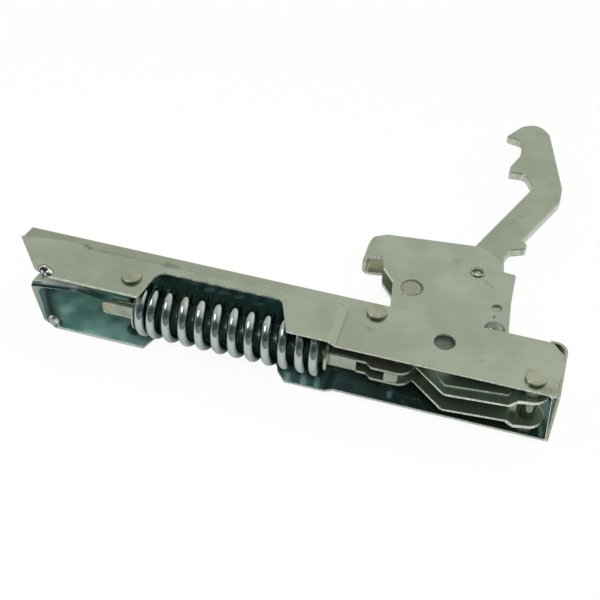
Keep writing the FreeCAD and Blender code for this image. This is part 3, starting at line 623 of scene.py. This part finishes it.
def springSurface(shape):
    # wire centre: x grows with the turn by a pitch that is small at both ends; y and z go round a circle.
    # skin: that centre plus the wire's radius times cos and sin of the ring angle along the outward and
    # along-axis directions, with x held between the two ground end planes
    first, last = shape["firstTurn"], shape["lastTurn"]
    count = int(shape["perTurn"] * (last - first))
    turn = np.linspace(first, last, count)
    (openAt, openOver), (closeAt, closeOver) = shape["opens"], shape["closes"]
    ease = np.clip(np.minimum((turn - openAt) / openOver, (closeAt - turn) / closeOver), 0.0, 1.0)
    ease = ease * ease * (3 - 2 * ease)
    extra = np.concatenate([[0.0], np.cumsum((ease[1:] + ease[:-1]) * 0.5 * (turn[1] - turn[0]))])
    opening = shape["lastX"] - shape["firstX"] - shape["closedPitch"] * np.floor(last)
    along = shape["firstX"] + shape["closedPitch"] * turn + opening * extra / extra[-1]
    angle = np.radians(shape["front"]) + 2 * np.pi * turn
    radius = 0.5 * (shape["outer"] - shape["wire"])
    outward = np.stack([np.zeros(count), np.cos(angle), np.sin(angle)], 1)
    axis = np.stack([along, np.full(count, shape["axisY"]), np.full(count, shape["axisZ"])], 1)
    centre = axis + radius * outward
    tangent = np.gradient(centre, axis=0)
    tangent /= np.linalg.norm(tangent, axis=1, keepdims=True)
    side = np.cross(tangent, outward)
    ring = np.linspace(0.0, 2 * np.pi, shape["ring"], endpoint=False)
    skin = centre[:, None, :] + 0.5 * shape["wire"] * (np.cos(ring)[None, :, None] * outward[:, None, :]
                                                      + np.sin(ring)[None, :, None] * side[:, None, :])
    skin[..., 0] = np.clip(skin[..., 0], shape["left"], shape["right"])
    return skin * 0.001, centre * 0.001


def gridMesh(name, skin, ends):
    # quads between neighbouring rows and round the ring, with a fan on each end
    rows, ring = skin.shape[:2]
    index = np.arange(rows * ring).reshape(rows, ring)
    across = np.roll(index, -1, axis=1)
    quads = np.stack([index[:-1], across[:-1], across[1:], index[1:]], -1).reshape(-1, 4)
    points = np.concatenate([skin.reshape(-1, 3), ends])
    first, last = rows * ring, rows * ring + 1
    startFan = np.stack([np.full(ring, first), across[0], index[0]], 1)
    endFan = np.stack([np.full(ring, last), index[-1], across[-1]], 1)
    mesh = bpy.data.meshes.new(name)
    mesh.from_pydata(points.tolist(), [], quads.tolist() + startFan.tolist() + endFan.tolist())
    mesh.polygons.foreach_set("use_smooth", np.ones(len(mesh.polygons), bool))
    mesh.update()
    piece = bpy.data.objects.new(name, mesh)
    bpy.context.scene.collection.objects.link(piece)
    return piece


def springFinish(look):
    # bright plated wire: fine grain, cool and warm patches of plating
    material = bpy.data.materials.new("springPlating")
    material.use_nodes = True
    tree = material.node_tree
    shader = tree.nodes["Principled BSDF"].inputs
    shader["Metallic"].default_value = 1.0
    point, xyz, facing = millimetres(tree)
    cloud = grain(tree, point, 0.16, 3.0, 0.5)
    fine = grain(tree, point, 1.4, 3.0, 0.6)
    color = blendColor(tree, span(tree, cloud, 0.45, 0.70, 0.0, 0.6), look["color"], look["cool"])
    # painted shade: the wire's flanks are darker where the coils shade each other
    color = blendColor(tree, span(tree, steepness(tree, facing[0]), 0.35, 0.90, 0.0, 0.85), color, look["flank"])
    for spot, radius, soft, amount in look["warmSpots"]:
        mark = product(tree, nearSpot(tree, point, spot, radius, soft), span(tree, fine, 0.35, 0.6), amount)
        color = blendColor(tree, mark, color, look["warm"])
    bump = addNode(tree, "ShaderNodeBump", {"Strength": 0.10, "Distance": 0.00005, "Height": fine})
    feed(tree, shader["Base Color"], color)
    feed(tree, shader["Roughness"], span(tree, fine, 0.3, 0.7, *look["gloss"]))
    feed(tree, shader["Normal"], bump.outputs[0])
    return material


skin, centre = springSurface(springShape)
spring = gridMesh("coilSpring", skin, centre[[0, -1]])
spring.data.materials.append(springFinish(springLook))
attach(spring, "housing")
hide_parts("spring")
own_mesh(spring)
print("spring done, faces:", len(spring.data.polygons))


# camera solved from the photograph's frame of 600 by 600
cameraView = {"place": (0.02031, -0.28319, 0.30654), "azimuth": 14.71, "elevation": 45.87, "roll": -1.98,
              "focal": 1157.9, "frame": 600.0, "sensor": 36.0}


def aimCamera(view):
    # axes from azimuth, elevation and roll; lens from the focal length in pixels and the sensor's width
    a, e, r = (math.radians(view[key]) for key in ("azimuth", "elevation", "roll"))
    right = Vector((math.cos(a), math.sin(a), 0.0))
    ahead = Vector((-math.sin(a) * math.cos(e), math.cos(a) * math.cos(e), -math.sin(e)))
    down = ahead.cross(right)
    across = right * math.cos(r) + down * math.sin(r)
    below = down * math.cos(r) - right * math.sin(r)
    data = bpy.data.cameras.new("studioCamera")
    data.sensor_width = view["sensor"]
    data.sensor_fit = "HORIZONTAL"
    data.lens = view["sensor"] * view["focal"] / view["frame"]
    data.clip_start = 0.01
    camera = bpy.data.objects.new("studioCamera", data)
    turn = Matrix((across, -below, -ahead)).transposed().to_4x4()
    camera.matrix_world = Matrix.Translation(view["place"]) @ turn
    bpy.context.scene.collection.objects.link(camera)
    bpy.context.scene.camera = camera
    return ahead, right


ahead, sideways = aimCamera(cameraView)


# pale floor and white surroundings; quiet is the oval round the part where the floor isn't plain white in the metal
studio = {"aim": (-0.03, 0.02, -0.01), "floorSize": 4.0, "floorColor": (0.86, 0.86, 0.85), "floorWhite": 0.93,
          "quietMiddle": -62.0, "quietLong": 125.0, "quietWide": 36.0, "quietRim": (0.8, 2.2),
          "cardColor": (0.62, 1.0, 0.92), "cardLevel": 0.11, "cardSize": (1.60, 0.46), "cardAway": 0.55,
          "cardRim": (0.24, 0.5), "skyLeft": 0.84, "skyRight": 1.22, "skyAcross": (-0.5, 0.7),
          "skyFront": 0.30, "skyDepth": (-0.40, 0.48)}
# soft lamps: place, watts, size and whether metal shows them
lamps = {"keySoft": ((-0.42, -0.10, 0.62), 1.1, 0.28, True),
         "rimSoft": ((0.40, -0.30, 0.52), 0.7, 0.22, True),
         "frontFill": ((0.05, -0.40, 0.60), 2.6, 0.30, False)}


def flatPanel(name, corners, material):
    mesh = bpy.data.meshes.new(name)
    mesh.from_pydata([tuple(c) for c in corners], [], [(0, 1, 2, 3)])
    mesh.materials.append(material)
    panel = bpy.data.objects.new(name, mesh)
    bpy.context.scene.collection.objects.link(panel)
    return panel


def panelPaint(name):
    material = bpy.data.materials.new(name)
    material.use_nodes = True
    tree = material.node_tree
    tree.nodes.remove(tree.nodes["Principled BSDF"])
    return material, tree


def mixSurface(tree, share, first, second):
    mix = addNode(tree, "ShaderNodeMixShader", {0: share, 1: first.outputs[0], 2: second.outputs[0]})
    feed(tree, tree.nodes["Material Output"].inputs["Surface"], mix.outputs[0])


def floorPaint():
    # white to the camera and in reflections, with a share of plain diffuse that keeps the soft shadow
    material, tree = panelPaint("floorPaint")
    ray = addNode(tree, "ShaderNodeLightPath").outputs
    point, xyz, facing = millimetres(tree)
    acrossX = calc(tree, "DIVIDE", calc(tree, "SUBTRACT", xyz[0], studio["quietMiddle"]), studio["quietLong"])
    acrossY = calc(tree, "DIVIDE", xyz[1], studio["quietWide"])
    reach = calc(tree, "ADD", product(tree, acrossX, acrossX), product(tree, acrossY, acrossY))
    mirrored = product(tree, ray["Is Glossy Ray"], span(tree, reach, *studio["quietRim"]))
    seen = calc(tree, "MAXIMUM", ray["Is Camera Ray"], ray["Is Transmission Ray"])
    seen = calc(tree, "MAXIMUM", seen, mirrored)
    diffuse = addNode(tree, "ShaderNodeBsdfDiffuse", {"Color": studio["floorColor"]})
    white = addNode(tree, "ShaderNodeEmission", {"Color": (1.0, 1.0, 1.0), "Strength": 1.0})
    mixSurface(tree, product(tree, seen, studio["floorWhite"]), diffuse, white)
    return material


def cardPaint():
    # dim glow that fades out at the upper and lower rim
    material, tree = panelPaint("cardPaint")
    glow = addNode(tree, "ShaderNodeEmission", {"Color": studio["cardColor"], "Strength": studio["cardLevel"]})
    clear = addNode(tree, "ShaderNodeBsdfTransparent")
    box = addNode(tree, "ShaderNodeSeparateXYZ", {0: addNode(tree, "ShaderNodeTexCoord").outputs["Generated"]})
    away = calc(tree, "ABSOLUTE", calc(tree, "SUBTRACT", box.outputs[2], 0.5))
    mixSurface(tree, span(tree, away, *studio["cardRim"]), glow, clear)
    return material


squareCorners = ((-1, -1), (1, -1), (1, 1), (-1, 1))
half, floorZ = studio["floorSize"] / 2, cadBox[0][2] - 0.0001
flatPanel("paleFloor", [(sx * half, sy * half, floorZ) for sx, sy in squareCorners], floorPaint())

# dim card behind the camera, seen only in the metal
aim = Vector(studio["aim"])
cardCentre = aim - ahead * studio["cardAway"]
cardUp = sideways.cross(ahead)
wide, tall = studio["cardSize"][0] / 2, studio["cardSize"][1] / 2
cardCorners = [cardCentre + sideways * sx * wide + cardUp * sy * tall for sx, sy in squareCorners]
card = flatPanel("dimCard", cardCorners, cardPaint())
card.visible_camera = False
card.visible_diffuse = False
card.visible_shadow = False
card.visible_transmission = False

# white surroundings, a little brighter to the right and dimmer behind the camera
world = bpy.data.worlds.new("studioWorld")
bpy.context.scene.world = world
world.use_nodes = True
sky = world.node_tree
toward = addNode(sky, "ShaderNodeSeparateXYZ", {0: addNode(sky, "ShaderNodeTexCoord").outputs["Generated"]})
level = span(sky, toward.outputs[0], *studio["skyAcross"], studio["skyLeft"], studio["skyRight"])
level = product(sky, level, span(sky, toward.outputs[1], *studio["skyDepth"], studio["skyFront"], 1.0))
level = calc(sky, "MAXIMUM", level, addNode(sky, "ShaderNodeLightPath").outputs["Is Camera Ray"])
feed(sky, sky.nodes["Background"].inputs["Color"], (1.0, 1.0, 1.0))
feed(sky, sky.nodes["Background"].inputs["Strength"], level)

for name, (place, watts, size, shiny) in lamps.items():
    data = bpy.data.lights.new(name, "AREA")
    data.energy = watts
    data.size = size
    lamp = bpy.data.objects.new(name, data)
    lamp.location = place
    lamp.visible_glossy = shiny
    lamp.rotation_euler = (aim - Vector(place)).to_track_quat("-Z", "Y").to_euler()
    bpy.context.scene.collection.objects.link(lamp)

bpy.context.scene.view_settings.view_transform = "Standard"
print("studio done")
